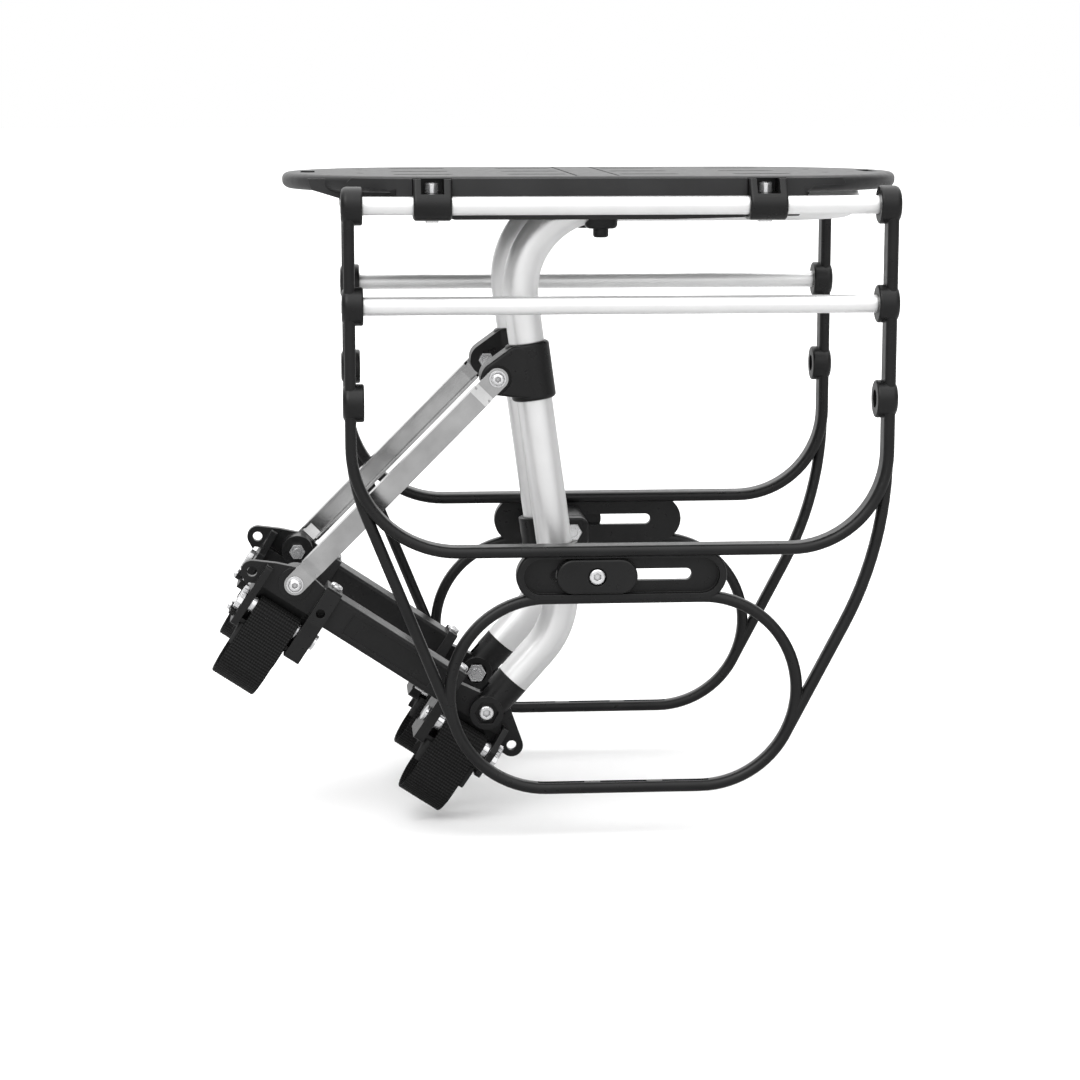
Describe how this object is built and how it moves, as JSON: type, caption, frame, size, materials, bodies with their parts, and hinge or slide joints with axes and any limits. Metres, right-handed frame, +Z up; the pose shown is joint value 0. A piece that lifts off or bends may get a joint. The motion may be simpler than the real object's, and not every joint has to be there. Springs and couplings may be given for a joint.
{
  "type": "rear rack",
  "caption": "Bicycle rear rack with a slotted deck on one bent tube, swinging struts, sliding side frames for bags and strap-on brackets for the stays.",
  "frame": {"origin": "centre of the flat top of the deck", "axes": "+X towards the rear of the bicycle, +Y towards its right-hand side, +Z up"},
  "size_m": [0.3929, 0.2206, 0.3603],
  "materials": {
    "deck_plastic": "moulded charcoal plastic with a fine grain",
    "black_plastic": "moulded black plastic, satin",
    "satin_aluminium": "satin anodised tube",
    "rail_aluminium": "satin anodised round bar",
    "polished_aluminium": "bright pressed channel",
    "plated_steel": "bright plated steel",
    "rubber": "black rubber",
    "webbing": "black woven ribbed webbing"
  },
  "bodies": {
    "stay_mounts": {"stay_bracket_left": "black_plastic", "stay_bracket_right": "black_plastic", "stay_pad_upper_left": "rubber", "stay_pad_upper_right": "rubber", "stay_pad_lower_left": "rubber", "stay_pad_lower_right": "rubber", "strap_upper_left": "webbing", "strap_upper_right": "webbing", "strap_lower_left": "webbing", "strap_lower_right": "webbing", "beam_screws": "plated_steel", "anchor_pins": "plated_steel", "pawl_screws": "plated_steel", "leg_bolts": "plated_steel", "leg_nuts": "plated_steel", "strut_screws": "plated_steel", "strut_nuts": "plated_steel"},
    "rack": {"main_tube": "satin_aluminium", "leg_plug_left": "black_plastic", "leg_plug_right": "black_plastic", "deck": "deck_plastic", "deck_studs": "plated_steel", "tube_saddles": "black_plastic", "dome_nuts": "black_plastic", "deck_clips": "black_plastic", "clip_bolts": "plated_steel", "clip_nuts": "plated_steel", "leg_clamp_left": "black_plastic", "leg_clamp_right": "black_plastic", "sliding_cap_left": "black_plastic", "sliding_cap_right": "black_plastic", "slider_bolts": "plated_steel", "slider_nuts": "plated_steel"},
    "collar_left": {"collar_left": "black_plastic", "collar_screw_left": "plated_steel", "collar_nut_left": "plated_steel"},
    "strut_left": {"strut_left": "polished_aluminium"},
    "side_frame_left": {"side_frame_left": "black_plastic", "top_rail_left": "rail_aluminium", "middle_rail_left": "rail_aluminium", "rail_screws_left": "plated_steel"},
    "spool_upper_left": {"spool_upper_left": "plated_steel"},
    "pawl_upper_left": {"pawl_upper_left": "black_plastic"},
    "spool_lower_left": {"spool_lower_left": "plated_steel"},
    "pawl_lower_left": {"pawl_lower_left": "black_plastic"},
    "collar_right": {"collar_right": "black_plastic", "collar_screw_right": "plated_steel", "collar_nut_right": "plated_steel"},
    "strut_right": {"strut_right": "polished_aluminium"},
    "side_frame_right": {"side_frame_right": "black_plastic", "top_rail_right": "rail_aluminium", "middle_rail_right": "rail_aluminium", "rail_screws_right": "plated_steel"},
    "spool_upper_right": {"spool_upper_right": "plated_steel"},
    "pawl_upper_right": {"pawl_upper_right": "black_plastic"},
    "spool_lower_right": {"spool_lower_right": "plated_steel"},
    "pawl_lower_right": {"pawl_lower_right": "black_plastic"}
  },
  "joints": [
    {"name": "rack_tilt", "type": "hinge", "parent": "stay_mounts", "child": "rack", "pos_m": [-0.0633, 0, -0.302], "axis": [0, 1, 0], "range_deg": [-5, 5]},
    {"name": "collar_slide_left", "type": "slide", "parent": "rack", "child": "collar_left", "axis": [-0.1366, 0, 0.9906], "range_m": [-0.0188, 0.0188]},
    {"name": "strut_swing_left", "type": "hinge", "parent": "stay_mounts", "child": "strut_left", "pos_m": [-0.1701, 0, -0.2262], "axis": [0, 1, 0], "range_deg": [-9.8, 9.8]},
    {"name": "side_frame_slide_left", "type": "slide", "parent": "rack", "child": "side_frame_left", "axis": [1, 0, 0], "range_m": [-0.03, 0.016]},
    {"name": "spool_turn_upper_left", "type": "hinge", "parent": "stay_mounts", "child": "spool_upper_left", "pos_m": [-0.19853, -0.062, -0.23455], "axis": [0.8329, 0, -0.5534], "continuous": true},
    {"name": "pawl_swing_upper_left", "type": "hinge", "parent": "stay_mounts", "child": "pawl_upper_left", "pos_m": [-0.20351, -0.0505, -0.24205], "axis": [0.8329, 0, -0.5534], "range_deg": [-9, 6]},
    {"name": "spool_turn_lower_left", "type": "hinge", "parent": "stay_mounts", "child": "spool_lower_left", "pos_m": [-0.06026, -0.062, -0.32641], "axis": [0.8329, 0, -0.5534], "continuous": true},
    {"name": "pawl_swing_lower_left", "type": "hinge", "parent": "stay_mounts", "child": "pawl_lower_left", "pos_m": [-0.06525, -0.0505, -0.33391], "axis": [0.8329, 0, -0.5534], "range_deg": [-9, 6]},
    {"name": "collar_slide_right", "type": "slide", "parent": "rack", "child": "collar_right", "axis": [-0.1366, 0, 0.9906], "range_m": [-0.0188, 0.0188]},
    {"name": "strut_swing_right", "type": "hinge", "parent": "stay_mounts", "child": "strut_right", "pos_m": [-0.1701, 0, -0.2262], "axis": [0, 1, 0], "range_deg": [-9.8, 9.8]},
    {"name": "side_frame_slide_right", "type": "slide", "parent": "rack", "child": "side_frame_right", "axis": [1, 0, 0], "range_m": [-0.03, 0.016]},
    {"name": "spool_turn_upper_right", "type": "hinge", "parent": "stay_mounts", "child": "spool_upper_right", "pos_m": [-0.19853, 0.062, -0.23455], "axis": [-0.8329, 0, 0.5534], "continuous": true},
    {"name": "pawl_swing_upper_right", "type": "hinge", "parent": "stay_mounts", "child": "pawl_upper_right", "pos_m": [-0.20351, 0.0505, -0.24205], "axis": [-0.8329, 0, 0.5534], "range_deg": [-9, 6]},
    {"name": "spool_turn_lower_right", "type": "hinge", "parent": "stay_mounts", "child": "spool_lower_right", "pos_m": [-0.06026, 0.062, -0.32641], "axis": [-0.8329, 0, 0.5534], "continuous": true},
    {"name": "pawl_swing_lower_right", "type": "hinge", "parent": "stay_mounts", "child": "pawl_lower_right", "pos_m": [-0.06525, 0.0505, -0.33391], "axis": [-0.8329, 0, 0.5534], "range_deg": [-9, 6]}
  ],
  "couplings": [
    {"joint": "collar_slide_left", "follows": "rack_tilt", "m_per_rad": -0.2132},
    {"joint": "strut_swing_left", "follows": "rack_tilt", "ratio": 1.9217},
    {"joint": "collar_slide_right", "follows": "rack_tilt", "m_per_rad": -0.2132},
    {"joint": "strut_swing_right", "follows": "rack_tilt", "ratio": 1.9217}
  ]
}
